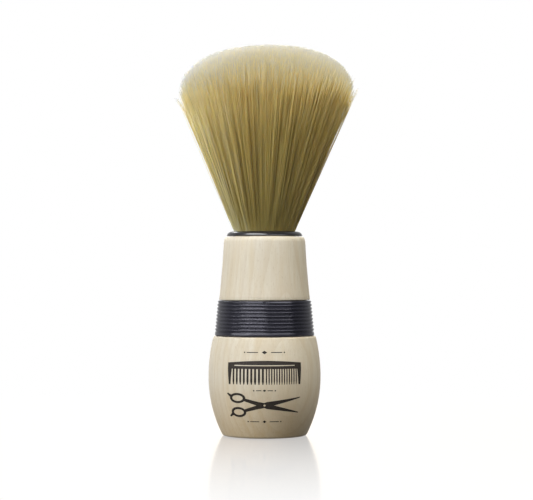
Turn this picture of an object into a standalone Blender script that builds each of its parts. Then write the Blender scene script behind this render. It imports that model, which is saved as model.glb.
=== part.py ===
"""Neck duster brush: a turned wooden handle with a ribbed rubber grip and a fan of soft bristles.

The brush stands upright on the flat foot of its handle. Lengths are in metres, +Z is up, and the
origin is the centre of the foot. Every turned piece is an outline of (radius, height) points that
is spun about the Z axis. The roots of the bristles are tied, potted in a cup and glued into a
socket bored in the top of the handle.
"""

import math

import bmesh
import bpy

MM = 0.001
SEGMENTS = 48                       # sides of every turned piece
GAP = 0.3 * MM                      # clearance between neighbouring solids
CREASE = math.radians(38)           # edges sharper than this stay crisp

# Handle, from the foot up
HANDLE_HEIGHT = 86.3 * MM
FOOT_EDGE = 1.6 * MM                # rounding round the flat foot
BELLY_RADIUS = 24.4 * MM
BELLY_LEVEL = 25.7 * MM             # height of the widest place
BELLY_ARC_BELOW = 56.0 * MM         # radius of the outline below the widest place
BELLY_ARC_ABOVE = 72.0 * MM
SHOULDER_EDGE = 0.7 * MM            # rounding where the belly meets the grip
WAIST_BOTTOM = 43.2 * MM            # seat of the grip sleeve
WAIST_TOP = 58.9 * MM
WAIST_RADIUS = 18.2 * MM
NECK_BOTTOM_RADIUS = 19.8 * MM      # wood above the grip
NECK_TOP_RADIUS = 17.8 * MM
NECK_HOLLOW = 0.2 * MM              # how far the neck's outline dips below a straight line
NECK_EDGE_HEIGHT = 2.8 * MM         # rounding of the top edge
NECK_EDGE_WIDTH = 1.3 * MM
SOCKET_RADIUS = 15.2 * MM
SOCKET_FLOOR = 62.0 * MM

# Grip sleeve
GROOVES = 9
GROOVE_PITCH = 1.52 * MM
GROOVE_MOUTH = 0.8 * MM
GROOVE_FLOOR = 0.4 * MM
GROOVE_DEPTH = 0.5 * MM
TOP_LIP = 0.75 * MM                 # plain band above the first groove
SLEEVE_TOP_RADIUS = 20.3 * MM
SLEEVE_BOTTOM_RADIUS = 21.7 * MM
SLEEVE_CHAMFER = 0.3 * MM

# Collar ring: a low upright edge, then a shallow dome up to the bristles
COLLAR_RADIUS = 16.5 * MM
COLLAR_BORE = 13.9 * MM
COLLAR_HEIGHT = 2.0 * MM
COLLAR_EDGE = 0.3 * MM
COLLAR_DOME = 3.5 * MM              # radius of the dome's outline
COLLAR_LIP = 0.3 * MM               # flat ledge round the bore

# Knot in its socket
ADHESIVE_THICKNESS = 0.6 * MM
ADHESIVE_HEIGHT = 9.0 * MM
CUP_WALL = 0.7 * MM
CUP_FLOOR = 1.2 * MM
RESIN_WALL = 1.1 * MM
RESIN_FLOOR = 2.0 * MM
RESIN_HEIGHT = 8.5 * MM
THREAD_DIAMETER = 0.8 * MM
THREAD_TURNS = 3
THREAD_PITCH = 1.0 * MM
THREAD_CLEAR_OF_RESIN = 1.5 * MM

# Bristle fan
FAN_TOP = 170.0 * MM
FAN_RADIUS = 38.6 * MM
FAN_RIM_LEVEL = 147.5 * MM          # height of the widest place
FAN_CONE_TOP = 143.5 * MM           # the sides are straight up to here
FAN_CONE_TOP_RADIUS = 37.0 * MM
FAN_MOUTH_RADIUS = 13.5 * MM        # where the bristles leave the collar
DOME_POWER = 2.4                    # 2 would be an ellipse, more is squarer at the rim


def clear_scene():
    for item in list(bpy.data.objects):
        bpy.data.objects.remove(item)


def principled(name, color, roughness, metallic=0.0):
    material = bpy.data.materials.new(name)
    material.use_nodes = True
    shader = material.node_tree.nodes["Principled BSDF"]
    shader.inputs["Base Color"].default_value = (*color, 1.0)
    shader.inputs["Roughness"].default_value = roughness
    shader.inputs["Metallic"].default_value = metallic
    return material


def arc(centre, radius, start, end, steps):
    """Points on a circle about centre, from one angle to another, in degrees from the +R side."""
    points = []
    for step in range(steps + 1):
        angle = math.radians(start + (end - start) * step / steps)
        points.append((centre[0] + radius * math.cos(angle), centre[1] + radius * math.sin(angle)))
    return points


def arc_between(start, end, radius, steps):
    """Points on the arc of that radius from start up to end, bulging away from the axis."""
    across, up = end[0] - start[0], end[1] - start[1]
    half = math.hypot(across, up) / 2
    depth = math.sqrt(radius ** 2 - half ** 2)
    centre = (
        (start[0] + end[0]) / 2 - up * depth / (2 * half),
        (start[1] + end[1]) / 2 + across * depth / (2 * half),
    )
    first = math.degrees(math.atan2(start[1] - centre[1], start[0] - centre[0]))
    last = math.degrees(math.atan2(end[1] - centre[1], end[0] - centre[0]))
    return arc(centre, radius, first, last, steps)


def turned(name, outline, material):
    """Spins an outline about Z. An outline that starts and ends on the axis makes a solid core,
    and any other outline is closed into a ring."""
    mesh = bpy.data.meshes.new(name)
    shape = bmesh.new()
    corners = [shape.verts.new((radius, 0.0, height)) for radius, height in outline]
    edges = [shape.edges.new(pair) for pair in zip(corners, corners[1:])]
    if outline[0][0] > 0:
        edges.append(shape.edges.new((corners[-1], corners[0])))
    bmesh.ops.spin(
        shape,
        geom=corners + edges,
        axis=(0, 0, 1),
        cent=(0, 0, 0),
        angle=math.tau,
        steps=SEGMENTS,
        use_merge=True,
    )
    bmesh.ops.remove_doubles(shape, verts=shape.verts, dist=0.01 * MM)
    bmesh.ops.recalc_face_normals(shape, faces=shape.faces)
    shape.to_mesh(mesh)
    shape.free()
    mesh.shade_smooth()
    mesh.set_sharp_from_angle(angle=CREASE)
    mesh.materials.append(material)
    piece = bpy.data.objects.new(name, mesh)
    bpy.context.scene.collection.objects.link(piece)
    return piece


def belly_outline():
    """The flat foot, its rounded edge and the belly, up to the shoulder under the grip."""
    below = (BELLY_RADIUS - BELLY_ARC_BELOW, BELLY_LEVEL)
    above = (BELLY_RADIUS - BELLY_ARC_ABOVE, BELLY_LEVEL)
    # The foot's rounding touches the ground and, from inside, the arc of the belly.
    rise = BELLY_LEVEL - FOOT_EDGE
    reach = math.sqrt((BELLY_ARC_BELOW - FOOT_EDGE) ** 2 - rise ** 2)
    edge = (below[0] + reach, FOOT_EDGE)
    foot_angle = -math.degrees(math.atan2(rise, reach))
    # The shoulder's rounding touches the seat's lower face and the arc above the widest place.
    drop = WAIST_BOTTOM - SHOULDER_EDGE - BELLY_LEVEL
    reach = math.sqrt((BELLY_ARC_ABOVE - SHOULDER_EDGE) ** 2 - drop ** 2)
    shoulder = (above[0] + reach, WAIST_BOTTOM - SHOULDER_EDGE)
    shoulder_angle = math.degrees(math.atan2(drop, reach))
    outline = [(0.0, 0.0)]
    outline += arc(edge, FOOT_EDGE, -90, foot_angle, 3)
    outline += arc(below, BELLY_ARC_BELOW, foot_angle, 0, 6)[1:]
    outline += arc(above, BELLY_ARC_ABOVE, 0, shoulder_angle, 5)[1:]
    outline += arc(shoulder, SHOULDER_EDGE, shoulder_angle, 90, 3)[1:]
    return outline


def neck_outline():
    """The wood above the grip: a slightly hollow taper and a rounded top edge."""
    taper_top = HANDLE_HEIGHT - NECK_EDGE_HEIGHT
    steps = 5
    outline = []
    for step in range(steps + 1):
        part = step / steps
        radius = NECK_BOTTOM_RADIUS + (NECK_TOP_RADIUS - NECK_BOTTOM_RADIUS) * part
        radius -= NECK_HOLLOW * 4 * part * (1 - part)
        outline.append((radius, WAIST_TOP + (taper_top - WAIST_TOP) * part))
    for step in range(1, 5):
        angle = math.radians(90 * step / 4)
        radius = NECK_TOP_RADIUS - NECK_EDGE_WIDTH * (1 - math.cos(angle))
        outline.append((radius, taper_top + NECK_EDGE_HEIGHT * math.sin(angle)))
    return outline


def make_handle(material):
    outline = belly_outline()
    outline += [(WAIST_RADIUS, WAIST_BOTTOM), (WAIST_RADIUS, WAIST_TOP)]
    outline += neck_outline()
    outline += [(SOCKET_RADIUS, HANDLE_HEIGHT), (SOCKET_RADIUS, SOCKET_FLOOR), (0.0, SOCKET_FLOOR)]
    return turned("handle", outline, material)


def make_grip_sleeve(material):
    """A tapered rubber tube in the waist, with grooves cut round it between two plain lips."""
    bottom = WAIST_BOTTOM + GAP
    top = WAIST_TOP - GAP
    bore = WAIST_RADIUS + GAP

    def surface(height):
        part = (height - bottom) / (top - bottom)
        return SLEEVE_BOTTOM_RADIUS + (SLEEVE_TOP_RADIUS - SLEEVE_BOTTOM_RADIUS) * part

    outline = [
        (bore, top),
        (surface(top) - SLEEVE_CHAMFER, top),
        (surface(top), top - SLEEVE_CHAMFER),
    ]
    for groove in range(GROOVES):
        mouth_top = top - TOP_LIP - groove * GROOVE_PITCH
        middle = mouth_top - GROOVE_MOUTH / 2
        floor = surface(middle) - GROOVE_DEPTH
        outline.append((surface(mouth_top), mouth_top))
        outline.append((floor, middle + GROOVE_FLOOR / 2))
        outline.append((floor, middle - GROOVE_FLOOR / 2))
        outline.append((surface(mouth_top - GROOVE_MOUTH), mouth_top - GROOVE_MOUTH))
    outline += [
        (surface(bottom), bottom + SLEEVE_CHAMFER),
        (surface(bottom) - SLEEVE_CHAMFER, bottom),
        (bore, bottom),
    ]
    return turned("grip_sleeve", outline, material)


def make_collar_ring(material):
    """A ring on the handle's top face, with a flat underside and a shallow domed slope."""
    base = HANDLE_HEIGHT + GAP
    foot = (COLLAR_RADIUS, base + COLLAR_EDGE)
    crest = (COLLAR_BORE + COLLAR_LIP, base + COLLAR_HEIGHT)
    outline = [(COLLAR_RADIUS, base)]
    outline += arc_between(foot, crest, COLLAR_DOME, 5)
    outline += [(COLLAR_BORE, base + COLLAR_HEIGHT), (COLLAR_BORE, base)]
    return turned("collar_ring", outline, material)


def dish(name, outer_radius, wall, bottom, floor, height, material):
    """An open cup shape with a flat floor and straight walls."""
    outline = [
        (0.0, bottom),
        (outer_radius, bottom),
        (outer_radius, bottom + height),
        (outer_radius - wall, bottom + height),
        (outer_radius - wall, bottom + floor),
        (0.0, bottom + floor),
    ]
    return turned(name, outline, material)


def make_binding_thread(radius, bottom, material):
    """A thread wound round the roots: a helix with open ends."""
    curve = bpy.data.curves.new("binding_thread", "CURVE")
    curve.dimensions = "3D"
    curve.bevel_depth = THREAD_DIAMETER / 2
    curve.bevel_resolution = 1
    curve.use_fill_caps = True
    curve.materials.append(material)
    points_per_turn = 20
    count = THREAD_TURNS * points_per_turn + 1
    spline = curve.splines.new("POLY")
    spline.points.add(count - 1)
    spline.use_smooth = True
    for index, point in enumerate(spline.points):
        turn = index / points_per_turn
        angle = turn * math.tau
        height = bottom + THREAD_DIAMETER / 2 + turn * THREAD_PITCH
        point.co = (radius * math.cos(angle), radius * math.sin(angle), height, 1.0)
    piece = bpy.data.objects.new("binding_thread", curve)
    bpy.context.scene.collection.objects.link(piece)
    return piece


def make_bristle_fan(root_radius, root_bottom, tied_bottom, tied_top, material):
    """The bundle of bristles: a tied root in the cup, straight spreading sides and a domed top."""
    collar_bottom = HANDLE_HEIGHT + GAP
    collar_top = collar_bottom + COLLAR_HEIGHT
    neck_radius = FAN_MOUTH_RADIUS - GAP
    tied_radius = root_radius - GAP
    outline = [
        (0.0, root_bottom),
        (root_radius, root_bottom),
        (root_radius, tied_bottom - THREAD_DIAMETER),
        (tied_radius, tied_bottom),
        (tied_radius, tied_top),
        (root_radius, tied_top + THREAD_DIAMETER),
        (neck_radius - GAP, collar_bottom - GAP),
        (neck_radius, collar_top),
        (FAN_CONE_TOP_RADIUS, FAN_CONE_TOP),
    ]
    steps = 12
    for step in range(steps + 1):
        angle = math.radians(90 * step / steps)
        radius = FAN_RADIUS * math.cos(angle) ** (2 / DOME_POWER)
        rise = (FAN_TOP - FAN_RIM_LEVEL) * math.sin(angle) ** (2 / DOME_POWER)
        outline.append((radius if step < steps else 0.0, FAN_RIM_LEVEL + rise))
    return turned("bristle_fan", outline, material)


def build():
    clear_scene()
    make_handle(principled("pale_wood", (0.72, 0.62, 0.46), 0.45))
    make_grip_sleeve(principled("black_rubber", (0.03, 0.03, 0.035), 0.6))
    make_collar_ring(principled("gloss_black_plastic", (0.02, 0.02, 0.022), 0.2))

    adhesive_radius = SOCKET_RADIUS - GAP
    adhesive_bottom = SOCKET_FLOOR + GAP
    dish(
        "socket_adhesive",
        adhesive_radius,
        ADHESIVE_THICKNESS,
        adhesive_bottom,
        ADHESIVE_THICKNESS,
        ADHESIVE_HEIGHT,
        principled("clear_adhesive", (0.75, 0.68, 0.45), 0.25),
    )

    cup_radius = adhesive_radius - ADHESIVE_THICKNESS - GAP
    cup_bottom = adhesive_bottom + ADHESIVE_THICKNESS + GAP
    dish(
        "knot_cup",
        cup_radius,
        CUP_WALL,
        cup_bottom,
        CUP_FLOOR,
        HANDLE_HEIGHT - cup_bottom,
        principled("black_plastic", (0.04, 0.04, 0.04), 0.5),
    )

    resin_radius = cup_radius - CUP_WALL - GAP
    resin_bottom = cup_bottom + CUP_FLOOR + GAP
    dish(
        "knot_resin",
        resin_radius,
        RESIN_WALL,
        resin_bottom,
        RESIN_FLOOR,
        RESIN_HEIGHT,
        principled("amber_resin", (0.45, 0.28, 0.09), 0.2),
    )

    root_radius = resin_radius - RESIN_WALL - GAP
    tied_bottom = resin_bottom + RESIN_HEIGHT + THREAD_CLEAR_OF_RESIN
    tied_height = THREAD_TURNS * THREAD_PITCH + THREAD_DIAMETER
    make_binding_thread(
        root_radius + THREAD_DIAMETER / 2,
        tied_bottom,
        principled("waxed_thread", (0.6, 0.55, 0.45), 0.8),
    )
    make_bristle_fan(
        root_radius,
        resin_bottom + RESIN_FLOOR + GAP,
        tied_bottom,
        tied_bottom + tied_height,
        principled("bristle", (0.52, 0.42, 0.22), 0.6),
    )


build()
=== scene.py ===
"""Looks of the neck duster brush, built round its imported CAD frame.

The visible shells of the handle, the grip and the collar are turned again with finer outlines, and
the plain bristle solid is replaced by separate filaments. The hidden parts of the knot keep their
CAD meshes and get finished materials. Lengths are in metres, +Z is up, and the emblem faces -Y.
"""

import math

import bmesh
import bpy
import numpy as np
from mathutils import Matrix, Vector
from mathutils.geometry import delaunay_2d_cdt
from mathutils.kdtree import KDTree


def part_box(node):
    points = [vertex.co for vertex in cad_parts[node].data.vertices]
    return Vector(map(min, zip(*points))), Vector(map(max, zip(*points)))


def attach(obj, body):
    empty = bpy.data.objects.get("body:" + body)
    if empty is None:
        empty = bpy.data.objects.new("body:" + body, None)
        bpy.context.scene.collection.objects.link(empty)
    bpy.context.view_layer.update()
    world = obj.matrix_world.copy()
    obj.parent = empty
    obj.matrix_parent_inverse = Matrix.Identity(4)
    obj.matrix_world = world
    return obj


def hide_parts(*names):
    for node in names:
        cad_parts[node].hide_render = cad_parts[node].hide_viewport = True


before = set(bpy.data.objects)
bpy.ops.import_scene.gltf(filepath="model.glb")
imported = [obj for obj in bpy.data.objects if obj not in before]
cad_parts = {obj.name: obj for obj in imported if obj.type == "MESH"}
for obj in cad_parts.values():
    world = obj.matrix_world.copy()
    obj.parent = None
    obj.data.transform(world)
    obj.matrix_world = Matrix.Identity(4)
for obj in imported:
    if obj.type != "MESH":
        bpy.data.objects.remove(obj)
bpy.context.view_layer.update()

MM = 0.001
BAKE_MAP = "OFBake"                 # name of every made piece's texture map

# Sizes that the frame gives
_, HANDLE_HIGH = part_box("handle")
SLEEVE_LOW, SLEEVE_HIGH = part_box("grip_sleeve")
COLLAR_LOW, COLLAR_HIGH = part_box("collar_ring")
_, FAN_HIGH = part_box("bristle_fan")
HANDLE_HEIGHT = HANDLE_HIGH.z
BELLY_RADIUS = HANDLE_HIGH.x
SLEEVE_BOTTOM = SLEEVE_LOW.z
SLEEVE_TOP = SLEEVE_HIGH.z
SLEEVE_BOTTOM_RADIUS = SLEEVE_HIGH.x
COLLAR_BASE = COLLAR_LOW.z
COLLAR_TOP = COLLAR_HIGH.z
COLLAR_RADIUS = COLLAR_HIGH.x
FAN_RADIUS = FAN_HIGH.x
FAN_TOP = FAN_HIGH.z

# Handle outline, as the CAD part has it
FOOT_EDGE = 1.6 * MM
BELLY_LEVEL = 25.7 * MM
BELLY_ARC_BELOW = 56.0 * MM
BELLY_ARC_ABOVE = 72.0 * MM
SHOULDER_EDGE = 0.7 * MM
WAIST_BOTTOM = 43.2 * MM
WAIST_TOP = 58.9 * MM
WAIST_RADIUS = 18.2 * MM
NECK_BOTTOM_RADIUS = 19.8 * MM
NECK_TOP_RADIUS = 17.8 * MM
NECK_HOLLOW = 0.2 * MM
NECK_EDGE_HEIGHT = 2.8 * MM
NECK_EDGE_WIDTH = 1.3 * MM
NECK_LOWER_EDGE = 0.25 * MM         # broken edge over the grip
SOCKET_RADIUS = 15.2 * MM
SOCKET_FLOOR = 62.0 * MM
SOCKET_EDGE = 0.3 * MM

# Heights over which painted shade darkens and yellows the wood towards the foot, and over which a
# painted highlight lightens the top of the neck
FOOT_PAINTED_SHADE = (2 * MM, 26 * MM)
NECK_PAINTED_HIGHLIGHT = (76 * MM, 85 * MM)

# Grip sleeve
SLEEVE_BORE = 18.35 * MM
SLEEVE_TOP_RADIUS = 20.3 * MM
SLEEVE_EDGE = 0.3 * MM
GROOVES = 9
GROOVE_PITCH = 1.52 * MM
GROOVE_WIDTH = 0.66 * MM
GROOVE_DEPTH = 0.3 * MM
RIB_CROWN = 0.09 * MM               # how far the ribs are rounded
TOP_LIP = 0.8 * MM
NICK_WIDTH = 0.9 * MM               # mould mark in the lip over the first groove
NICK_HEIGHT = 0.6 * MM
NICK_DEPTH = 0.45 * MM

# Collar
COLLAR_BORE = 13.9 * MM
COLLAR_EDGE = 0.3 * MM
COLLAR_DOME = 2.2 * MM
COLLAR_LIP = 0.3 * MM

# Bristles
SEED = 7
FILAMENTS = 26000
LOCKS = 320                         # tufts that lean together
SUBLOCKS = 3000                     # finer strands within them
SECTORS = 8                         # the bristles are split into this many pieces
FILAMENT_SIDES = 3
FILAMENT_RADIUS = 0.09 * MM
TIP_RADIUS = 0.035 * MM
TIP_TAPER = 6.0 * MM                # length over which a filament thins to its tip
TAPER_POWER = 0.7
ROOT_LEVEL = 67.8 * MM
TIED_LEVEL = 77.0 * MM
MOUTH_LEVEL = 87.6 * MM
ROOT_SPREAD = 11.1 * MM             # radius of the bundle where it is tied
MOUTH_SPREAD = 12.75 * MM           # radius of the bundle inside the collar
RIM_LEVEL = 147.5 * MM              # height of the fan's widest place
DOME_POWER = 2.4
STRAY_SHARE = 0.007
# Darker strands: partly random tone, partly painted shade for the gaps between locks.
DARK_AND_GAP_SHADE_SHARE = 0.18                   # share of the strands that are darker than the rest
FAN_LEAN = 0.9 * MM                 # how far the fan's rim stands over to the right
FAN_INSET = 0.4 * MM                # keeps the loose tips within the fan's radius
TIP_TILT = 0.55 * MM                # how much higher the right side of the fan is cut
WISP_REACH = 0.985                  # where the two wisps stand, as a share of the bundle's radius
WISP_SIZE = 0.02                    # radius of a wisp, as a share of the bundle's radius
WISP_LEAN = 2.1 * MM
WISP_CURL = 20                      # the higher, the nearer to its tip a wisp bends
LEFT_WISP = -0.5 * MM               # heights of the wisps' tips over the fan's rim
RIGHT_WISP = (1.0 * MM, 4.0 * MM)
MAP_WIDTH = 1 / 64                  # width of one filament's strip on the texture map

# How far the bristles wander at random, by lock, by sublock and each loose filament on its own
LOCK_JITTER, SUBLOCK_JITTER, LOOSE_JITTER = 0.016, 0.006, 0.003     # shares of the bundle's radius
LOCK_TIP, SUBLOCK_TIP, LOOSE_TIP = 0.1 * MM, 0.12 * MM, 0.45 * MM   # heights of the tips
LOCK_LEAN, SUBLOCK_LEAN, LOOSE_LEAN = 0.1 * MM, 0.12 * MM, 0.13 * MM
SUBLOCK_BOW, LOOSE_BOW = 0.18 * MM, 0.22 * MM                       # at mid-length
LOCK_TONE, SUBLOCK_TONE, LOOSE_TONE = 0.07, 0.19, 0.13              # on a scale of 0 to 1
DARK_AND_GAP_SHADE_TONE = 0.36                    # how much darker the dark strands are
TONE_RANGE = (0.02, 0.96)           # keeps every filament's strip on the texture map
CRIMP = 0.03 * MM                   # height of a filament's small waves
CRIMP_TURN = 18.0                   # their phase from root to tip, in radians
STRAY_LEAN = (0.6 * MM, 2.0 * MM)   # how far out the strays lean, from least to most
LOCK_PULL = 0.05                    # how far a filament is drawn to the middle of its lock
SUBLOCK_PULL = (0.1, 0.65)          # and to the middle of its sublock, from least to most
PULL_POWER = 0.6                    # puts the tightest place of a lock a third of the way up

# Emblem on the belly
EMBLEM_LIFT = 0.035 * MM            # how far the ink stands proud of the wood
EMBLEM_WIDEN = 1.13                 # makes up for the narrowing at the sides of the belly
EMBLEM_ROOT = 0.03 * MM             # how far it reaches into the wood
EMBLEM_GRID = 0.8 * MM              # spacing of the points that make it follow the belly
EMBLEM_CREASE = 50                  # degrees
EMBLEM_BOTTOM = 6 * MM              # patch of the belly that the points cover
EMBLEM_HEIGHT = 33 * MM
EMBLEM_HALF_WIDTH = 17 * MM
EMBLEM_MAP_WIDTH = 36 * MM          # patch of the belly that its texture map covers
EMBLEM_MAP_HEIGHT = 44 * MM

# Studio
LIGHT_TARGET = (0.0, 0.0, 0.09)     # the middle of the brush, which the softboxes face
LIGHT_DISTANCE = 1.1                # from there to each softbox
WORLD_LEFT = 0.14                   # strengths of the world light that shades the brush
WORLD_FRONT = 0.04
WORLD_BACK = 0.26
MIRROR_FRONT = 0.24                 # its strengths in reflections
MIRROR_BACK = 0.6
MIRROR_RIGHT = 0.5                  # how much of that is left at the right
MIRROR_SPAN = (-0.2, 0.5)           # directions between which front turns to back
WALL = 1.35                         # the far wall in reflections
WALL_SPAN = (0.93, 0.98)            # directions between which it starts
FLOOR_SIZE = 12.0                   # half the length of its side
FLOOR_ROUGHNESS = 0.12
FLOOR_FACING = 0.35                 # blend of its Fresnel curve
FLOOR_MIRROR = 0.85                 # how strongly the floor mirrors under the brush
FLOOR_NEAR = 0.02                   # distance at which its reflection starts to fade
FLOOR_FAR = 0.26                    # distance at which it is gone
FLOOR_TINT = (1.0, 0.89, 0.74, 1.0)
CAMERA_PLACE = (0.00085, -0.763, 0.071)
CAMERA_TILT = 0.72                  # degrees up from level
CAMERA_LENS = 118.2                 # focal length in millimetres


# ---------------------------------------------------------------- materials


def add(tree, kind, inputs=None, **settings):
    """A new node. An input's value is a number, a tuple or another node's output socket."""
    node = tree.nodes.new(kind)
    for key, value in settings.items():
        setattr(node, key, value)
    for key, value in (inputs or {}).items():
        if isinstance(value, bpy.types.NodeSocket):
            tree.links.new(value, node.inputs[key])
        else:
            node.inputs[key].default_value = value
    return node


def material(name, roughness, **plain):
    """A new material, its tree and its shader, which the plain values are set on."""
    made = bpy.data.materials.new(name)
    made.use_nodes = True
    shader = made.node_tree.nodes["Principled BSDF"]
    shader.inputs["Roughness"].default_value = roughness
    for socket, value in plain.items():
        shader.inputs[socket.replace("_", " ")].default_value = value
    return made, made.node_tree, shader


def millimetres(tree, stretch=(1.0, 1.0, 1.0), offset=(0.0, 0.0, 0.0)):
    """Object coordinates in millimetres, stretched along the axes."""
    place = add(tree, "ShaderNodeTexCoord")
    inputs = {
        "Vector": place.outputs["Object"],
        "Scale": [1000.0 * part for part in stretch],
        "Location": offset,
    }
    return add(tree, "ShaderNodeMapping", inputs).outputs["Vector"]


def noise(tree, vector, scale, detail=2.0, roughness=0.5):
    inputs = {"Vector": vector, "Scale": scale, "Detail": detail, "Roughness": roughness}
    return add(tree, "ShaderNodeTexNoise", inputs).outputs["Fac"]


def spread(tree, value, low, high, out_low, out_high):
    """A value mapped from one range to another, and held at the ends."""
    inputs = {
        "Value": value,
        "From Min": low,
        "From Max": high,
        "To Min": out_low,
        "To Max": out_high,
    }
    return add(tree, "ShaderNodeMapRange", inputs).outputs["Result"]


def math_node(tree, operation, first, second):
    node = add(tree, "ShaderNodeMath", {0: first, 1: second}, operation=operation)
    return node.outputs["Value"]


def mix(tree, factor, first, second, blend="MIX"):
    """Two colours mixed. Each is a plain (red, green, blue) or another node's output socket."""
    first, second = (
        color if isinstance(color, bpy.types.NodeSocket) else (*color, 1.0)
        for color in (first, second)
    )
    inputs = {0: factor, 6: first, 7: second}
    settings = {"data_type": "RGBA", "blend_type": blend, "clamp_result": True}
    return add(tree, "ShaderNodeMix", inputs, **settings).outputs[2]


def ramp(tree, value, stops):
    """A colour ramp from (position, colour) stops."""
    node = add(tree, "ShaderNodeValToRGB", {"Fac": value})
    elements = node.color_ramp.elements
    while len(elements) < len(stops):
        elements.new(0.5)
    for element, (position, color) in zip(elements, stops):
        element.position = position
        element.color = (*color, 1.0)
    return node.outputs["Color"]


def bump(tree, shader, height, distance, strength=1.0):
    inputs = {"Height": height, "Distance": distance, "Strength": strength}
    node = add(tree, "ShaderNodeBump", inputs)
    tree.links.new(node.outputs["Normal"], shader.inputs["Normal"])


def wood_material():
    """Pale close-grained hardwood, turned, sanded and thinly varnished."""
    made, tree, shader = material(
        "pale_wood", 0.5, Coat_Weight=0.12, Coat_Roughness=0.35, Specular_IOR_Level=0.4
    )
    # The blank was cut away from the heart, so the rings cross the turned surface as long lines.
    rings = add(
        tree,
        "ShaderNodeTexWave",
        {
            "Vector": millimetres(tree, (1.0, 1.0, 0.05), (38.0, -70.0, 6.0)),
            "Scale": 0.12,
            "Distortion": 3.0,
            "Detail": 2.0,
            "Detail Scale": 0.6,
            "Detail Roughness": 0.55,
        },
        wave_type="RINGS",
        rings_direction="Z",
        wave_profile="SAW",
    ).outputs["Fac"]
    broad = noise(tree, millimetres(tree, (1.0, 1.0, 0.22), (5.0, 9.0, 2.0)), 0.09, 2.0)
    fibre = noise(tree, millimetres(tree, (1.0, 1.0, 0.035)), 2.2, 3.0, 0.6)
    streak = noise(tree, millimetres(tree, (1.0, 1.0, 0.06), (0.0, 7.0, 0.0)), 0.55, 2.0)
    fleck = noise(tree, millimetres(tree, (1.0, 1.0, 0.2), (3.0, 0.0, 0.0)), 3.0, 1.0)

    color = ramp(
        tree,
        spread(tree, broad, 0.3, 0.7, 0.0, 1.0),
        [(0.0, (0.64, 0.58, 0.47)), (0.5, (0.67, 0.617, 0.504)), (1.0, (0.63, 0.555, 0.425))],
    )
    color = mix(tree, spread(tree, rings, 0.55, 1.0, 0.0, 0.4), color, (0.55, 0.46, 0.33))
    color = mix(tree, spread(tree, streak, 0.45, 0.75, 0.0, 0.55), color, (0.60, 0.50, 0.33))
    color = mix(tree, spread(tree, fibre, 0.35, 0.7, 0.0, 0.36), color, (0.55, 0.47, 0.335))
    color = mix(tree, spread(tree, fleck, 0.64, 0.74, 0.0, 0.35), color, (0.42, 0.33, 0.22))
    # Painted shade darkens and yellows the wood towards the foot, and a painted highlight lightens
    # the rounded top of the neck.
    place = add(tree, "ShaderNodeTexCoord")
    parts = add(tree, "ShaderNodeSeparateXYZ", {"Vector": place.outputs["Object"]})
    # Painted shade: darker and yellower towards the foot.
    low = spread(tree, parts.outputs["Z"], *FOOT_PAINTED_SHADE, 1.0, 0.0)
    color = mix(tree, low, color, (0.97, 0.86, 0.69), "MULTIPLY")
    # Painted highlight on the top of the neck, where its rounding faces the lights.
    high = spread(tree, parts.outputs["Z"], *NECK_PAINTED_HIGHLIGHT, 0.0, 1.0)
    color = mix(tree, high, color, (1.10, 1.12, 1.16), "MULTIPLY")
    tree.links.new(color, shader.inputs["Base Color"])
    tree.links.new(spread(tree, fibre, 0.3, 0.7, 0.46, 0.58), shader.inputs["Roughness"])
    height = math_node(tree, "SUBTRACT", fibre, math_node(tree, "MULTIPLY", fleck, 0.6))
    bump(tree, shader, height, 0.02 * MM, 0.6)
    return made


def rubber_material():
    """Satin black moulded rubber with a slight blue-grey bloom."""
    made, tree, shader = material(
        "black_rubber", 0.3, Specular_IOR_Level=0.8, Specular_Tint=(0.88, 0.88, 1.0, 1.0)
    )
    bloom = noise(tree, millimetres(tree, (1.0, 1.0, 2.0)), 0.25, 3.0, 0.6)
    grain = noise(tree, millimetres(tree), 6.0, 2.0)
    color = mix(tree, bloom, (0.005, 0.005, 0.009), (0.010, 0.010, 0.017))
    tree.links.new(color, shader.inputs["Base Color"])
    tree.links.new(spread(tree, bloom, 0.3, 0.7, 0.2, 0.26), shader.inputs["Roughness"])
    bump(tree, shader, grain, 0.01 * MM, 0.15)
    return made


def collar_material():
    """Glossy black plastic with fine rubbing marks round it."""
    made, tree, shader = material("gloss_black_plastic", 0.16, Specular_IOR_Level=0.9)
    rub = noise(tree, millimetres(tree, (0.3, 0.3, 6.0)), 2.0, 3.0, 0.6)
    dust = noise(tree, millimetres(tree), 1.6, 3.0, 0.7)
    dusty = spread(tree, dust, 0.55, 0.8, 0.0, 1.0)
    color = mix(tree, dusty, (0.010, 0.010, 0.011), (0.03, 0.03, 0.03))
    tree.links.new(color, shader.inputs["Base Color"])
    tree.links.new(spread(tree, rub, 0.3, 0.7, 0.12, 0.24), shader.inputs["Roughness"])
    return made


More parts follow.
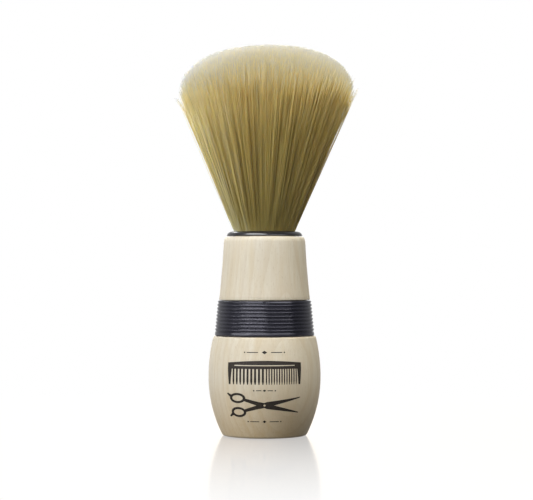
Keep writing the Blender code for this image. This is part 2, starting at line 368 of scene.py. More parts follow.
def bristle_material():
    """Fine bristle: olive brown at the root and golden along its length. Painted light brightens
    the gold just under the tips, and painted shade darkens the tips to grey, so that the brightly
    lit dome blends into the shaded flank of the fan.
    Across the map it runs from dark filaments to pale ones, and up the map from root to tip."""
    made, tree, shader = material(
        "bristle",
        0.45,
        Specular_IOR_Level=0.5,
        Subsurface_Weight=0.6,
        Subsurface_Scale=0.3 * MM,
        Subsurface_Radius=(1.0, 0.8, 0.5),
    )
    place = add(tree, "ShaderNodeUVMap", uv_map=BAKE_MAP)
    parts = add(tree, "ShaderNodeSeparateXYZ", {"Vector": place.outputs["UV"]})
    along = parts.outputs["Y"]
    across = parts.outputs["X"]
    # Painted light and shade in the ramp: bright gold up to just under the tips, where the flank is
    # shaded, and dark grey tips, where the dome is lit.
    color = ramp(
        tree,
        along,
        [
            (0.0, (0.31, 0.23, 0.07)),
            (0.24, (0.31, 0.245, 0.078)),
            (0.45, (0.40, 0.312, 0.094)),
            (0.62, (0.66, 0.50, 0.16)),
            (0.78, (0.725, 0.535, 0.168)),
            (0.89, (0.87, 0.64, 0.225)),
            (0.945, (0.72, 0.535, 0.185)),
            (0.975, (0.475, 0.385, 0.16)),
            (1.0, (0.235, 0.25, 0.25)),
        ],
    )
    tone = ramp(
        tree,
        across,
        [(0.0, (0.40, 0.38, 0.33)), (0.5, (0.96, 0.96, 0.95)), (1.0, (1.34, 1.32, 1.28))],
    )
    even = math_node(
        tree,
        "MAXIMUM",
        spread(tree, along, 0.64, 0.9, 0.0, 1.0),
        spread(tree, along, 0.44, 0.60, 0.6, 0.0),
    )
    tone = mix(tree, even, tone, (0.96, 0.96, 0.95))
    color = mix(tree, 1.0, color, tone, "MULTIPLY")
    tree.links.new(color, shader.inputs["Base Color"])
    tree.links.new(spread(tree, along, 0.8, 0.96, 0.45, 0.8), shader.inputs["Roughness"])
    return made


def ink_material():
    """Dark brown printing ink, a little uneven where the wood's pores took it."""
    made, tree, shader = material("print_ink", 0.5, Specular_IOR_Level=0.35)
    pores = noise(tree, millimetres(tree, (1.0, 1.0, 0.25)), 3.5, 2.0)
    cover = noise(tree, millimetres(tree), 0.6, 2.0)
    color = mix(tree, cover, (0.014, 0.010, 0.007), (0.032, 0.024, 0.018))
    color = mix(tree, spread(tree, pores, 0.66, 0.78, 0.0, 0.6), color, (0.20, 0.15, 0.10))
    tree.links.new(color, shader.inputs["Base Color"])
    return made


def cup_material():
    made, tree, shader = material("cup_plastic", 0.5)
    grain = noise(tree, millimetres(tree), 4.0, 3.0)
    color = mix(tree, grain, (0.028, 0.028, 0.029), (0.05, 0.05, 0.05))
    tree.links.new(color, shader.inputs["Base Color"])
    bump(tree, shader, grain, 0.02 * MM, 0.4)
    return made


def resin_material():
    """Amber casting resin with swirls and a few fine bubbles."""
    made, tree, shader = material("amber_resin", 0.12, Coat_Weight=0.3, Coat_Roughness=0.1)
    swirl = noise(tree, millimetres(tree), 0.35, 4.0, 0.65)
    bubble = add(tree, "ShaderNodeTexVoronoi", {"Vector": millimetres(tree), "Scale": 0.9})
    color = mix(tree, swirl, (0.30, 0.15, 0.035), (0.52, 0.31, 0.10))
    speck = spread(tree, bubble.outputs["Distance"], 0.08, 0.16, 0.5, 0.0)
    color = mix(tree, speck, color, (0.70, 0.52, 0.28))
    tree.links.new(color, shader.inputs["Base Color"])
    return made


def thread_material():
    """Waxed twine: twisted plies along the winding, with wax in the hollows."""
    made, tree, shader = material("waxed_thread", 0.7, Sheen_Weight=0.25)
    twist = add(
        tree,
        "ShaderNodeTexWave",
        {"Vector": millimetres(tree, (1.0, 1.0, 1.6)), "Scale": 0.9, "Distortion": 1.0},
        wave_type="BANDS",
        bands_direction="DIAGONAL",
    ).outputs["Fac"]
    fuzz = noise(tree, millimetres(tree), 5.0, 3.0)
    color = mix(tree, twist, (0.42, 0.37, 0.28), (0.68, 0.62, 0.50))
    color = mix(tree, spread(tree, fuzz, 0.5, 0.8, 0.0, 0.5), color, (0.74, 0.70, 0.62))
    tree.links.new(color, shader.inputs["Base Color"])
    bump(tree, shader, twist, 0.08 * MM, 0.8)
    return made


def adhesive_material():
    made, tree, shader = material("set_glue", 0.25, Coat_Weight=0.2, Coat_Roughness=0.15)
    cloud = noise(tree, millimetres(tree), 0.5, 4.0, 0.6)
    color = mix(tree, cloud, (0.62, 0.53, 0.30), (0.80, 0.74, 0.54))
    tree.links.new(color, shader.inputs["Base Color"])
    bump(tree, shader, cloud, 0.2 * MM, 0.4)
    return made


# ---------------------------------------------------------------- meshes


def arc(centre, radius, start, end, steps):
    """Points on a circle about centre, from one angle to another, in degrees from the +R side."""
    angles = [math.radians(start + (end - start) * step / steps) for step in range(steps + 1)]
    return [
        (centre[0] + radius * math.cos(angle), centre[1] + radius * math.sin(angle))
        for angle in angles
    ]


def arc_between(start, end, radius, steps):
    """Points on the arc of that radius from start up to end, bulging away from the axis."""
    across, up = end[0] - start[0], end[1] - start[1]
    half = math.hypot(across, up) / 2
    depth = math.sqrt(radius ** 2 - half ** 2)
    centre = (
        (start[0] + end[0]) / 2 - up * depth / (2 * half),
        (start[1] + end[1]) / 2 + across * depth / (2 * half),
    )
    first = math.degrees(math.atan2(start[1] - centre[1], start[0] - centre[0]))
    last = math.degrees(math.atan2(end[1] - centre[1], end[0] - centre[0]))
    return arc(centre, radius, first, last, steps)


def place_piece(name, mesh, slot, finish, *replaced):
    """Links a made mesh as a piece that rides on the brush."""
    mesh.materials.append(finish)
    piece = bpy.data.objects.new(name, mesh)
    bpy.context.scene.collection.objects.link(piece)
    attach(piece, "root")
    if replaced:
        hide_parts(*replaced)
    return piece


def turned_mesh(name, outline, sides, crease):
    """A mesh turned from (radius, height) points. Its map runs round the piece and up the outline.
    An outline that doesn't start on the axis is closed into a ring. Edges that bend by more than
    crease, in degrees, stay sharp."""
    if outline[0][0] > 0:
        outline = outline + outline[:1]
    radius, height = np.array(outline).T
    rings = len(outline)
    angles = np.arange(sides) * math.tau / sides
    points = np.empty((rings, sides, 3))
    points[..., 0] = radius[:, None] * np.cos(angles)
    points[..., 1] = radius[:, None] * np.sin(angles)
    points[..., 2] = height[:, None]
    ring, side = np.meshgrid(np.arange(rings - 1), np.arange(sides), indexing="ij")
    after = (side + 1) % sides
    low, high = ring * sides, (ring + 1) * sides
    faces = np.stack([low + side, low + after, high + after, high + side], axis=-1).reshape(-1, 4)
    steps = np.hypot(np.diff(radius), np.diff(height))
    up = np.concatenate([[0.0], np.cumsum(steps)]) / steps.sum()
    around = np.stack([side, side + 1, side + 1, side], axis=-1) / sides
    along = np.stack([up[ring], up[ring], up[ring + 1], up[ring + 1]], axis=-1)
    mesh = bpy.data.meshes.new(name)
    mesh.from_pydata(points.reshape(-1, 3).tolist(), [], faces.tolist())
    layer = mesh.uv_layers.new(name=BAKE_MAP)
    layer.data.foreach_set("uv", np.stack([around, along], axis=-1).astype(np.float32).ravel())
    shape = bmesh.new()
    shape.from_mesh(mesh)
    bmesh.ops.remove_doubles(shape, verts=shape.verts, dist=0.001 * MM)
    bmesh.ops.recalc_face_normals(shape, faces=shape.faces)
    shape.to_mesh(mesh)
    shape.free()
    mesh.shade_smooth()
    mesh.set_sharp_from_angle(angle=math.radians(crease))
    return mesh


# ---------------------------------------------------------------- handle, grip and collar


def belly_radius(height):
    """Radius of the belly's surface at a height."""
    bend = BELLY_ARC_BELOW if height < BELLY_LEVEL else BELLY_ARC_ABOVE
    return BELLY_RADIUS - bend + math.sqrt(bend ** 2 - (height - BELLY_LEVEL) ** 2)


def handle_outline():
    """From the centre of the foot up the outside and down into the socket."""
    below = (BELLY_RADIUS - BELLY_ARC_BELOW, BELLY_LEVEL)
    above = (BELLY_RADIUS - BELLY_ARC_ABOVE, BELLY_LEVEL)
    rise = BELLY_LEVEL - FOOT_EDGE
    reach = math.sqrt((BELLY_ARC_BELOW - FOOT_EDGE) ** 2 - rise ** 2)
    foot = (below[0] + reach, FOOT_EDGE)
    foot_angle = -math.degrees(math.atan2(rise, reach))
    drop = WAIST_BOTTOM - SHOULDER_EDGE - BELLY_LEVEL
    reach = math.sqrt((BELLY_ARC_ABOVE - SHOULDER_EDGE) ** 2 - drop ** 2)
    shoulder = (above[0] + reach, WAIST_BOTTOM - SHOULDER_EDGE)
    shoulder_angle = math.degrees(math.atan2(drop, reach))
    outline = [(0.0, 0.0), (foot[0] * 0.5, 0.0)]
    outline += arc(foot, FOOT_EDGE, -90, foot_angle, 10)
    outline += arc(below, BELLY_ARC_BELOW, foot_angle, 0, 28)[1:]
    outline += arc(above, BELLY_ARC_ABOVE, 0, shoulder_angle, 20)[1:]
    outline += arc(shoulder, SHOULDER_EDGE, shoulder_angle, 90, 8)[1:]
    outline += [(WAIST_RADIUS, WAIST_BOTTOM), (WAIST_RADIUS, WAIST_TOP)]
    outline += neck_outline()
    lip = (SOCKET_RADIUS + SOCKET_EDGE, HANDLE_HEIGHT - SOCKET_EDGE)
    outline += arc(lip, SOCKET_EDGE, 90, 180, 4)
    outline += [(SOCKET_RADIUS, SOCKET_FLOOR), (0.0, SOCKET_FLOOR)]
    return outline


def neck_outline():
    """The wood above the grip: a broken lower edge, a slightly hollow taper and a rounded top."""
    taper_top = HANDLE_HEIGHT - NECK_EDGE_HEIGHT
    edge = (NECK_BOTTOM_RADIUS - NECK_LOWER_EDGE, WAIST_TOP + NECK_LOWER_EDGE)
    outline = arc(edge, NECK_LOWER_EDGE, -90, 0, 4)
    steps = 14
    for step in range(1, steps + 1):
        part = step / steps
        radius = NECK_BOTTOM_RADIUS + (NECK_TOP_RADIUS - NECK_BOTTOM_RADIUS) * part
        radius -= NECK_HOLLOW * 4 * part * (1 - part)
        outline.append((radius, edge[1] + (taper_top - edge[1]) * part))
    steps = 12
    for step in range(1, steps + 1):
        angle = math.radians(90 * step / steps)
        radius = NECK_TOP_RADIUS - NECK_EDGE_WIDTH * (1 - math.cos(angle))
        outline.append((radius, taper_top + NECK_EDGE_HEIGHT * math.sin(angle)))
    return outline


def sleeve_outline():
    """The outside of the grip from its top to its bottom, with round ribs between the grooves."""

    def surface(height):
        part = (height - SLEEVE_BOTTOM) / (SLEEVE_TOP - SLEEVE_BOTTOM)
        return SLEEVE_BOTTOM_RADIUS + (SLEEVE_TOP_RADIUS - SLEEVE_BOTTOM_RADIUS) * part

    top_edge = (surface(SLEEVE_TOP) - SLEEVE_EDGE, SLEEVE_TOP - SLEEVE_EDGE)
    bottom_edge = (surface(SLEEVE_BOTTOM) - SLEEVE_EDGE, SLEEVE_BOTTOM + SLEEVE_EDGE)
    outline = [(SLEEVE_BORE, SLEEVE_TOP)]
    outline += arc(top_edge, SLEEVE_EDGE, 90, 0, 5)
    groove_steps, rib_steps = 10, 6
    for groove in range(GROOVES):
        middle = SLEEVE_TOP - TOP_LIP - GROOVE_WIDTH / 2 - groove * GROOVE_PITCH
        for step in range(groove_steps + 1):
            turn = 2 * step / groove_steps - 1
            height = middle - turn * GROOVE_WIDTH / 2
            sink = GROOVE_DEPTH * (1 - turn ** 2)
            outline.append((surface(height) - sink, height))
        if groove < GROOVES - 1:
            rib = middle - GROOVE_PITCH / 2
            half = (GROOVE_PITCH - GROOVE_WIDTH) / 2
            for step in range(1, rib_steps):
                turn = 2 * step / rib_steps - 1
                height = rib - turn * half
                outline.append((surface(height) + RIB_CROWN * (1 - turn ** 2), height))
    outline += arc(bottom_edge, SLEEVE_EDGE, 0, -90, 5)
    outline.append((SLEEVE_BORE, SLEEVE_BOTTOM))
    return outline


def sink_nick(mesh):
    """The mould mark: a small round dent at the front of the top lip, open to the first groove."""
    level = SLEEVE_TOP - TOP_LIP
    for point in mesh.vertices:
        if point.co.y > 0 or math.hypot(point.co.x, point.co.y) < SLEEVE_BORE + 0.5 * MM:
            continue
        reach = math.hypot(point.co.x / (NICK_WIDTH / 2), (point.co.z - level) / NICK_HEIGHT)
        if reach < 1:
            keep = 1 - NICK_DEPTH * (1 - reach ** 2) ** 0.5 / SLEEVE_TOP_RADIUS
            point.co.x *= keep
            point.co.y *= keep


def collar_outline():
    """A flat underside, a low upright edge and a shallow dome up to the bristles."""
    bevel = 0.1 * MM
    rounding = 0.2 * MM
    foot = (COLLAR_RADIUS, COLLAR_BASE + COLLAR_EDGE)
    crest = (COLLAR_BORE + COLLAR_LIP, COLLAR_TOP)
    outline = [(COLLAR_RADIUS - bevel, COLLAR_BASE), (COLLAR_RADIUS, COLLAR_BASE + bevel)]
    outline += arc_between(foot, crest, COLLAR_DOME, 16)
    outline += arc((COLLAR_BORE + rounding, COLLAR_TOP - rounding), rounding, 90, 180, 5)
    outline.append((COLLAR_BORE, COLLAR_BASE))
    return outline


# ---------------------------------------------------------------- bristles


def disc_points(count):
    """Evenly spread points on the unit disc, in a sunflower's order."""
    index = np.arange(count)
    reach = np.sqrt((index + 0.5) / count)
    turn = index * math.pi * (3 - math.sqrt(5))
    return np.stack([reach * np.cos(turn), reach * np.sin(turn)], axis=-1)


def nearest(points, centres):
    """Index of the nearest centre to each point."""
    tree = KDTree(len(centres))
    for index, (across, up) in enumerate(centres):
        tree.insert((across, up, 0.0), index)
    tree.balance()
    return np.array([tree.find((across, up, 0.0))[1] for across, up in points])


def bundle_places(draw):
    """Places of the filaments, the sublocks and the locks on the unit disc."""
    disc = disc_points(FILAMENTS) + draw.normal(0, LOOSE_JITTER, (FILAMENTS, 2))
    disc /= np.maximum(np.hypot(disc[:, 0], disc[:, 1]), 1.0)[:, None]
    sublock_disc = disc_points(SUBLOCKS) + draw.normal(0, SUBLOCK_JITTER, (SUBLOCKS, 2))
    lock_disc = disc_points(LOCKS) + draw.normal(0, LOCK_JITTER, (LOCKS, 2))
    return disc, sublock_disc, lock_disc


def tip_heights(draw, disc, reach, lock, sublock):
    """Height of each filament's tip, on a tilted dome."""
    height = RIM_LEVEL + (FAN_TOP - RIM_LEVEL) * (1 - reach ** DOME_POWER) ** (1 / DOME_POWER)
    height += TIP_TILT * (disc[:, 0] - 1)
    height += draw.normal(0, LOCK_TIP, LOCKS)[lock]
    height += draw.normal(0, SUBLOCK_TIP, SUBLOCKS)[sublock]
    height -= np.abs(draw.normal(0, LOOSE_TIP, FILAMENTS))
    return height


def flick_wisps(disc, outward, tip_level):
    """Sets the tips of a wisp at each side of the fan, and returns how far every tip flicks out."""
    left = np.hypot(disc[:, 0] + WISP_REACH, disc[:, 1]) < WISP_SIZE
    right = np.hypot(disc[:, 0] - WISP_REACH, disc[:, 1]) < WISP_SIZE
    tip_level[left] = RIM_LEVEL + LEFT_WISP
    tip_level[right] = RIM_LEVEL + np.linspace(*RIGHT_WISP, right.sum())
    flick = np.zeros((FILAMENTS, 2))
    flick[left | right] = outward[left | right] * WISP_LEAN
    return flick


def filament_tones(draw, lock, sublock):
    """Tone of each filament, from 0 for the darkest to 1 for the palest."""
    tone = 0.5 + draw.normal(0, LOCK_TONE, LOCKS)[lock]
    tone += draw.normal(0, SUBLOCK_TONE, SUBLOCKS)[sublock]
    # Darker strands, which are partly painted shade for the gaps between locks.
    tone -= DARK_AND_GAP_SHADE_TONE * (draw.random(SUBLOCKS) < DARK_AND_GAP_SHADE_SHARE)[sublock]
    tone += draw.normal(0, LOOSE_TONE, FILAMENTS)
    return np.clip(tone, *TONE_RANGE)


def filament_lines(draw):
    """Centre lines of all filaments as (filament, ring, xyz), with each one's tone and sector."""
    disc, sublock_disc, lock_disc = bundle_places(draw)
    sublock = nearest(disc, sublock_disc)
    lock = nearest(sublock_disc, lock_disc)[sublock]
    reach = np.minimum(np.hypot(disc[:, 0], disc[:, 1]), 1.0)
    outward = disc / np.maximum(reach, 1e-6)[:, None]

    tip_level = tip_heights(draw, disc, reach, lock, sublock)
    lean = draw.normal(0, LOCK_LEAN, (LOCKS, 2))[lock]
    lean += draw.normal(0, SUBLOCK_LEAN, (SUBLOCKS, 2))[sublock]
    lean += draw.normal(0, LOOSE_LEAN, (FILAMENTS, 2))
    bow = draw.normal(0, SUBLOCK_BOW, (SUBLOCKS, 2))[sublock]
    bow += draw.normal(0, LOOSE_BOW, (FILAMENTS, 2))
    crimp = draw.normal(0, CRIMP, (FILAMENTS, 2))
    phase = draw.uniform(0, math.tau, FILAMENTS)
    stray = draw.random(FILAMENTS) < STRAY_SHARE
    lean[stray] += outward[stray] * draw.uniform(*STRAY_LEAN, (stray.sum(), 1))
    flick = flick_wisps(disc, outward, tip_level)

    # Rings: two inside the knot, one in the collar's mouth and the rest spread up to the tip.
    parts = np.array([0.0, 0.12, 0.26, 0.42, 0.58, 0.74, 0.88, 1.0])
    rings = 2 + len(parts)
    lines = np.empty((FILAMENTS, rings, 3))
    for ring, level in enumerate((ROOT_LEVEL, TIED_LEVEL)):
        lines[:, ring, :2] = disc * ROOT_SPREAD
        lines[:, ring, 2] = level
    pull = (sublock_disc[sublock] - disc) * draw.uniform(*SUBLOCK_PULL, (SUBLOCKS, 1))[sublock]
    pull += (lock_disc[lock] - disc) * LOCK_PULL
    for ring, part in enumerate(parts, start=2):
        clump = math.sin(math.pi * part ** PULL_POWER)
        spread_radius = MOUTH_SPREAD + (FAN_RADIUS - FAN_INSET - MOUTH_SPREAD) * part
        place = (disc + pull * clump) * spread_radius
        place[:, 0] += FAN_LEAN * part
        place += lean * part ** 2 + flick * part ** WISP_CURL
        place += bow * math.sin(math.pi * part)
        # The waves grow to their full height over the first quarter.
        wave = np.sin(phase + part * CRIMP_TURN)
        place += crimp * (wave * min(4 * part, 1.0))[:, None]
        lines[:, ring, :2] = place
        lines[:, ring, 2] = MOUTH_LEVEL + (tip_level - MOUTH_LEVEL) * part

    tone = filament_tones(draw, lock, sublock)
    turn = np.arctan2(lock_disc[lock, 1], lock_disc[lock, 0]) / math.tau + 0.5
    sector = np.minimum((turn * SECTORS).astype(int), SECTORS - 1)
    return lines, tone, sector


def filament_map(tone, level):
    """Texture map of the filaments' side faces and then their caps, as the mesh lists them."""
    count, rings = level.shape
    corner = np.arange(FILAMENT_SIDES)[None, None, :]
    left = tone[:, None, None] + corner * MAP_WIDTH / FILAMENT_SIDES
    left = np.broadcast_to(left, (count, rings - 1, FILAMENT_SIDES))
    right = left + MAP_WIDTH / FILAMENT_SIDES
    low = np.broadcast_to(level[:, :-1, None], left.shape)
    high = np.broadcast_to(level[:, 1:, None], left.shape)
    corners = ((left, low), (right, low), (right, high), (left, high))
    quad_map = np.stack([np.stack(place, axis=-1) for place in corners], axis=-2)
    cap_across = np.array([0.0, MAP_WIDTH, MAP_WIDTH / 2])
    cap_left = tone[:, None] + np.tile(cap_across, 2)
    cap_level = np.repeat(level[:, [0, -1]], FILAMENT_SIDES, axis=1)
    cap_map = np.stack([cap_left, cap_level], axis=-1)
    return np.concatenate([quad_map.reshape(-1, 2), cap_map.reshape(-1, 2)])


def filament_mesh(name, lines, tone, twist):
    """Tapered three-sided tubes along the lines, closed at both ends."""
    count, rings, _ = lines.shape
    along = np.gradient(lines, axis=1)
    along /= np.linalg.norm(along, axis=2, keepdims=True)
    side = np.cross(along, [0.0, 1.0, 0.0])
    side /= np.linalg.norm(side, axis=2, keepdims=True)
    front = np.cross(along, side)
    far = lines[:, -1:, 2] - lines[..., 2]
    taper = np.clip(far / TIP_TAPER, 0, 1) ** TAPER_POWER
    thick = TIP_RADIUS + (FILAMENT_RADIUS - TIP_RADIUS) * taper
    angles = np.arange(FILAMENT_SIDES) * math.tau / FILAMENT_SIDES
    turn = (angles[None, None, :] + twist[:, None, None])[..., None]
    outward = side[:, :, None, :] * np.cos(turn) + front[:, :, None, :] * np.sin(turn)
    points = lines[:, :, None, :] + thick[:, :, None, None] * outward
    start = (np.arange(count) * rings * FILAMENT_SIDES)[:, None, None]
    low = start + (np.arange(rings - 1) * FILAMENT_SIDES)[None, :, None]
    high = low + FILAMENT_SIDES
    corner = np.arange(FILAMENT_SIDES)
    after = (corner + 1) % FILAMENT_SIDES
    quads = np.stack([low + corner, low + after, high + after, high + corner], axis=-1)
    caps = np.concatenate([corner[::-1], corner + (rings - 1) * FILAMENT_SIDES])
    caps = start[:, :, 0] + caps
    loops = np.concatenate([quads.reshape(-1), caps.reshape(-1)])
    sizes = np.concatenate([np.full(quads.size // 4, 4), np.full(count * 2, FILAMENT_SIDES)])

    # The map's height is the distance back from the tip, on one scale for all filaments.
    coordinates = filament_map(tone, 1 - far / (FAN_TOP - ROOT_LEVEL))
    mesh = bpy.data.meshes.new(name)
    mesh.vertices.add(points.size // 3)
    mesh.vertices.foreach_set("co", points.astype(np.float32).ravel())
    mesh.loops.add(len(loops))
    mesh.loops.foreach_set("vertex_index", loops.astype(np.int32))
    mesh.polygons.add(len(sizes))
    mesh.polygons.foreach_set("loop_start", (np.cumsum(sizes) - sizes).astype(np.int32))
    layer = mesh.uv_layers.new(name=BAKE_MAP)
    layer.data.foreach_set("uv", coordinates.astype(np.float32).ravel())
    mesh.update(calc_edges=True)
    mesh.shade_smooth()
    return mesh


def make_bristles(finish):
    draw = np.random.default_rng(SEED)
    lines, tone, sector = filament_lines(draw)
    twist = draw.uniform(0, math.tau, FILAMENTS)
    pieces = []
    for number in range(SECTORS):
        chosen = sector == number
        name = f"bristles_{number + 1}"
        mesh = filament_mesh(name, lines[chosen], tone[chosen], twist[chosen])
        pieces.append(place_piece(name, mesh, "bristle", finish, "bristle_fan"))
    return pieces


# ---------------------------------------------------------------- emblem


def box_shape(left, bottom, right, top):
    return [(left, bottom), (right, bottom), (right, top), (left, top)]


def finely(shape):
    """The outline with extra points, so that no side is longer than the emblem's grid."""
    points = []
    for (across, up), (far_across, far_up) in zip(shape, shape[1:] + shape[:1]):
        steps = math.ceil(math.hypot(far_across - across, far_up - up) * MM / EMBLEM_GRID)
        for step in range(steps):
            part = step / steps
            points.append((across + (far_across - across) * part, up + (far_up - up) * part))
    return points


def oval(centre, across, up, steps=36):
    angles = [math.tau * step / steps for step in range(steps)]
    return [(centre[0] + across * math.cos(a), centre[1] + up * math.sin(a)) for a in angles]


def mirrored(shape, level):
    """The shape turned over about a level line, with its corners still anticlockwise."""
    return [(across, 2 * level - up) for across, up in reversed(shape)]


def comb_shapes():
    """A barber's comb, coarse teeth on the left and fine ones on the right, in millimetres."""
    left, right = -15.0, 15.0
    bottom, spine_bottom, root, spine_top, rise = 23.4, 30.0, 30.4, 32.6, 0.9
    steps = 16
    arch = [
        (right - (right - left) * step / steps, spine_top + rise * math.sin(math.pi * step / steps))
        for step in range(steps + 1)
    ]
    shapes = [[(left, spine_bottom), (right, spine_bottom)] + arch]
    shapes.append([(left + 0.5, bottom), (left + 1.3, bottom), (left + 1.9, root), (left, root)])
    shapes.append(
        [(right - 1.3, bottom), (right - 0.5, bottom), (right, root), (right - 1.9, root)]
    )
    for first, last, pitch, width in ((-12.3, -0.6, 1.46, 0.8), (0.75, 12.6, 1.0, 0.5)):
        teeth = round((last - first) / pitch)
        for tooth in range(teeth + 1):
            middle = first + (last - first) * tooth / teeth
            half = width / 2
            shapes.append(
                [
                    (middle - half * 0.45, bottom),
                    (middle + half * 0.45, bottom),
                    (middle + half, bottom + 1.4),
                    (middle + half, root),
                    (middle - half, root),
                    (middle - half, bottom + 1.4),
                ]
            )
    holes = [box_shape(left + 3.0, 31.25, right - 3.0, 31.65)]
    return shapes, holes


def scissor_shapes():
    """Open scissors lying on their side, with blades to the right, in millimetres."""
    level = 14.6
    blade = [
        (-2.0, level - 1.5),
        (0.5, level - 0.9),
        (14.6, level + 3.0),
        (14.9, level + 3.45),
        (1.0, level + 1.5),
        (-1.6, level + 0.5),
    ]
    shank = [
        (-7.6, level - 2.9),
        (-1.2, level - 1.2),
        (0.9, level + 0.4),
        (-0.6, level + 0.9),
        (-8.0, level - 1.7),
    ]
    ring = oval((-10.9, level - 3.0), 3.4, 2.2)
    rest = [(-14.1, level - 3.3), (-13.6, level - 4.4), (-15.2, level - 5.2), (-15.6, level - 4.7)]
    shapes = []
    for shape in (blade, shank, ring, rest):
        shapes += [shape, mirrored(shape, level)]
    hole = oval((-10.9, level - 3.0), 2.3, 1.25)
    holes = [hole, mirrored(hole, level), oval((0.0, level), 0.42, 0.42, 16)]
    return shapes, holes


def trim_shapes():
    """Thin rules and diamonds over and under the pictures, in millimetres."""
    shapes = []
    for level, half, size in ((37.0, 7.0, 0.75), (20.9, 3.2, 0.5), (7.6, 6.2, 0.6)):
        wide = size * 1.4
        shapes.append([(-wide, level), (0.0, level - size), (wide, level), (0.0, level + size)])
        for side in (-1, 1):
            near, far = sorted((side * half * 0.36, side * half))
            shapes.append(box_shape(near, level - 0.17, far, level + 0.17))
            shapes.append(oval((side * (half + 0.9), level), 0.3, 0.3, 14))
    return shapes, []


def emblem_triangles():
    """Points and triangles of the whole flat emblem, in millimetres, cut fine enough to bend."""
    shapes, holes = [], []
    for made, cut in (comb_shapes(), scissor_shapes(), trim_shapes()):
        shapes += made
        holes += cut
    points, faces = [], []
    for shape in map(finely, shapes + holes):
        faces.append(list(range(len(points), len(points) + len(shape))))
        points += [Vector(point) for point in shape]
    # The grid stands a little off the outlines, so that none of its points falls on one.
    pitch = EMBLEM_GRID / MM
    columns = math.ceil(EMBLEM_HALF_WIDTH / EMBLEM_GRID)
    for row in range(math.ceil(EMBLEM_HEIGHT / EMBLEM_GRID)):
        for column in range(-columns, columns + 1):
            across = column * pitch + 0.013
            up = EMBLEM_BOTTOM / MM + row * pitch + 0.017
            points.append(Vector((across, up)))
    inside, tolerance = 1, 1e-4
    flat, _, triangles, _, _, origins = delaunay_2d_cdt(points, [], faces, inside, tolerance)
    first_hole = len(shapes)
    # A triangle's origins are the outlines round it. One with a hole among them is left out.
    kept = [
        triangle
        for triangle, origin in zip(triangles, origins)
        if origin and max(origin) < first_hole
    ]
    used = sorted({corner for triangle in kept for corner in triangle})
    number = {corner: index for index, corner in enumerate(used)}
    return [flat[corner] for corner in used], [[number[c] for c in triangle] for triangle in kept]


def make_emblem(finish):
    """The emblem as a thin closed skin of ink that follows the belly."""
    flat, triangles = emblem_triangles()
    shape = bmesh.new()
    skins = []
    for lift in (EMBLEM_LIFT, -EMBLEM_ROOT):
        skin = []
        for across, up in flat:
            radius = belly_radius(up * MM) + lift
            angle = across * EMBLEM_WIDEN * MM / BELLY_RADIUS - math.pi / 2
            place = (radius * math.cos(angle), radius * math.sin(angle), up * MM)
            skin.append(shape.verts.new(place))
        skins.append(skin)
    outer, inner = skins
    borders = {}
    for triangle in triangles:
        shape.faces.new([outer[corner] for corner in triangle])
        shape.faces.new([inner[corner] for corner in reversed(triangle)])
        for pair in zip(triangle, triangle[1:] + triangle[:1]):
            borders[pair] = True
    for first, second in borders:
        if (second, first) not in borders:
            shape.faces.new((outer[second], outer[first], inner[first], inner[second]))
    mesh = bpy.data.meshes.new("emblem_print")
    shape.to_mesh(mesh)
    shape.free()
    layer = mesh.uv_layers.new(name=BAKE_MAP)
    for loop in mesh.loops:
        point = mesh.vertices[loop.vertex_index].co
        turn = math.atan2(point.x, -point.y) * BELLY_RADIUS
        layer.data[loop.index].uv = (0.5 + turn / EMBLEM_MAP_WIDTH, point.z / EMBLEM_MAP_HEIGHT)
    mesh.shade_smooth()
    mesh.set_sharp_from_angle(angle=math.radians(EMBLEM_CREASE))
    return place_piece("emblem_print", mesh, "print_ink", finish)


# ---------------------------------------------------------------- stage


def make_world():
    """White for the camera. Reflections show a dimmer world, darkest at the front right, with a
    bright far wall, and the shading gets a soft light from the left and from behind."""
    world = bpy.data.worlds.new("studio")
    world.use_nodes = True
    bpy.context.scene.world = world
    tree = world.node_tree
    # A ray's direction runs from -1 at the left to 1 at the right, and from the front to the back.
    place = add(tree, "ShaderNodeTexCoord")
    parts = add(tree, "ShaderNodeSeparateXYZ", {"Vector": place.outputs["Generated"]})
    side = spread(tree, parts.outputs["X"], -1.0, 0.0, WORLD_LEFT, 0.0)
    rear = spread(tree, parts.outputs["Y"], 0.0, 1.0, WORLD_FRONT, WORLD_BACK)
    shading = math_node(tree, "ADD", side, rear)
    depth = spread(tree, parts.outputs["Y"], *MIRROR_SPAN, MIRROR_FRONT, MIRROR_BACK)
    mirrored_light = math_node(
        tree, "MULTIPLY", depth, spread(tree, parts.outputs["X"], 0.0, 1.0, 1.0, MIRROR_RIGHT)
    )
    # The floor mirrors the far wall, which is brighter than white.
    wall = spread(tree, parts.outputs["Y"], *WALL_SPAN, 0.0, WALL - MIRROR_BACK)
    mirrored_light = math_node(tree, "ADD", mirrored_light, wall)
    path = add(tree, "ShaderNodeLightPath")
    diffuse = path.outputs["Is Diffuse Ray"]
    glossy = path.outputs["Is Glossy Ray"]
    seen = add(tree, "ShaderNodeMix", {0: glossy, 2: 1.0, 3: mirrored_light})
    strength = add(tree, "ShaderNodeMix", {0: diffuse, 2: seen.outputs[0], 3: shading})
    background = tree.nodes["Background"]
    background.inputs["Color"].default_value = (1.0, 1.0, 1.0, 1.0)
    tree.links.new(strength.outputs[0], background.inputs["Strength"])


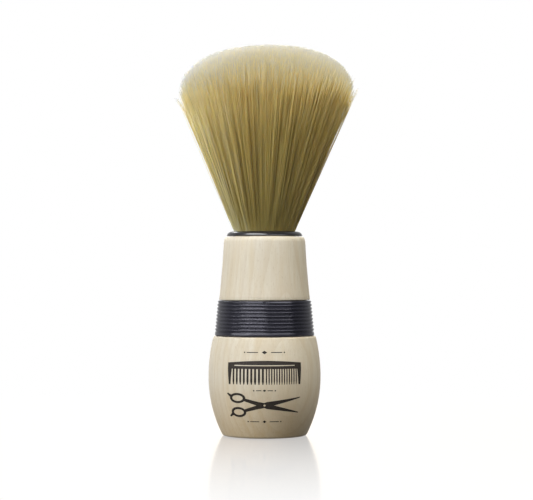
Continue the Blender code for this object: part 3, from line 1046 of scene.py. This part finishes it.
def make_floor():
    """A white glossy floor whose reflection fades away from the brush."""
    shape = bmesh.new()
    bmesh.ops.create_grid(shape, x_segments=1, y_segments=1, size=FLOOR_SIZE)
    mesh = bpy.data.meshes.new("floor")
    shape.to_mesh(mesh)
    shape.free()
    floor = bpy.data.objects.new("floor", mesh)
    bpy.context.scene.collection.objects.link(floor)
    floor.visible_diffuse = False
    floor.visible_glossy = False
    finish = bpy.data.materials.new("floor")
    finish.use_nodes = True
    tree = finish.node_tree
    tree.nodes.remove(tree.nodes["Principled BSDF"])
    place = add(tree, "ShaderNodeTexCoord")
    far = add(tree, "ShaderNodeVectorMath", {0: place.outputs["Object"]}, operation="LENGTH")
    fade = spread(tree, far.outputs["Value"], FLOOR_NEAR, FLOOR_FAR, FLOOR_MIRROR, 0.0)
    facing = add(tree, "ShaderNodeLayerWeight", {"Blend": FLOOR_FACING})
    share = math_node(tree, "MULTIPLY", fade, facing.outputs["Fresnel"])
    white = add(tree, "ShaderNodeEmission", {"Color": (1.0, 1.0, 1.0, 1.0), "Strength": 1.0})
    gloss = add(tree, "ShaderNodeBsdfGlossy", {"Color": FLOOR_TINT, "Roughness": FLOOR_ROUGHNESS})
    both = add(
        tree,
        "ShaderNodeMixShader",
        {0: share, 1: white.outputs["Emission"], 2: gloss.outputs["BSDF"]},
    )
    tree.links.new(both.outputs["Shader"], tree.nodes["Material Output"].inputs["Surface"])
    mesh.materials.append(finish)


def softbox(name, turn, rise, power, width, height, mirrored=True, color=(1.0, 1.0, 1.0)):
    """A soft light aimed at the brush. Turn is in degrees from the front, to the right, and rise in
    degrees above level. One that isn't mirrored shades the brush but makes no highlight on it."""
    lamp = bpy.data.lights.new(name, "AREA")
    lamp.shape = "RECTANGLE"
    lamp.size = width
    lamp.size_y = height
    lamp.energy = power
    lamp.color = color
    light = bpy.data.objects.new(name, lamp)
    across, up = math.radians(turn), math.radians(rise)
    toward = Vector(
        (math.sin(across) * math.cos(up), -math.cos(across) * math.cos(up), math.sin(up))
    )
    light.location = Vector(LIGHT_TARGET) + toward * LIGHT_DISTANCE
    light.rotation_euler = toward.to_track_quat("Z", "Y").to_euler()
    light.visible_glossy = mirrored
    bpy.context.scene.collection.objects.link(light)
    return light


def make_lights():
    """Softboxes round the brush. The glint one only makes a highlight."""
    softbox("key_softbox", -33, 44, 11.2, 1.1, 0.4)
    softbox("front_softbox", -16, 9, 3.2, 1.1, 0.2)
    softbox("fill_softbox", -58, 4, 2.0, 0.9, 0.22)
    softbox("side_softbox", -100, 23, 1.2, 0.45, 0.45, mirrored=False)
    softbox("back_left_softbox", -150, 20, 2.9, 0.45, 0.45, mirrored=False)
    softbox("right_softbox", 77, 58, 9.6, 0.45, 0.45, mirrored=False, color=(1.0, 0.95, 0.83))
    softbox("back_softbox", -172, 42, 10.6, 0.8, 0.4)
    glint = softbox("glint_softbox", 42, 12, 3.2, 1.1, 0.3)
    glint.visible_diffuse = False


def make_rim_lights(bristles):
    """Cool lights from the sides and a little behind, on the bristles only."""
    lit = bpy.data.collections.new("rim_lit")
    for piece in bristles:
        lit.objects.link(piece)
    left = softbox("rim_left", -112, 2, 15.0, 0.5, 0.3, mirrored=False, color=(0.42, 0.68, 1.6))
    right = softbox("rim_right", 130, 40, 4.5, 0.5, 0.3, mirrored=False, color=(0.6, 0.85, 1.5))
    for light in (left, right):
        light.light_linking.receiver_collection = lit


def make_camera():
    """At the height of the neck, square to the emblem and far enough away to flatten the view."""
    lens = bpy.data.cameras.new("camera")
    lens.sensor_width = 36.0
    lens.lens = CAMERA_LENS
    camera = bpy.data.objects.new("camera", lens)
    camera.location = CAMERA_PLACE
    camera.rotation_euler = (math.radians(90 + CAMERA_TILT), 0.0, 0.0)
    bpy.context.scene.collection.objects.link(camera)
    bpy.context.scene.camera = camera


# ---------------------------------------------------------------- the scene


def finish_knot():
    """Materials for the CAD pieces that stay: the hidden half of the knot."""
    finishes = {
        "knot_cup": cup_material,
        "knot_resin": resin_material,
        "binding_thread": thread_material,
        "socket_adhesive": adhesive_material,
    }
    for node, make in finishes.items():
        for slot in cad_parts[node].material_slots:
            slot.material = make()


def build():
    bpy.context.scene.view_settings.view_transform = "Standard"
    make_camera()
    make_world()
    make_lights()
    make_floor()
    handle = turned_mesh("wood_handle", handle_outline(), sides=192, crease=32)
    place_piece("wood_handle", handle, "wood", wood_material(), "handle")
    sleeve = turned_mesh("rubber_grip", sleeve_outline(), sides=360, crease=40)
    sink_nick(sleeve)
    place_piece("rubber_grip", sleeve, "grip_rubber", rubber_material(), "grip_sleeve")
    collar = turned_mesh("collar", collar_outline(), sides=192, crease=35)
    place_piece("collar", collar, "collar_plastic", collar_material(), "collar_ring")
    finish_knot()
    make_rim_lights(make_bristles(bristle_material()))
    make_emblem(ink_material())


build()
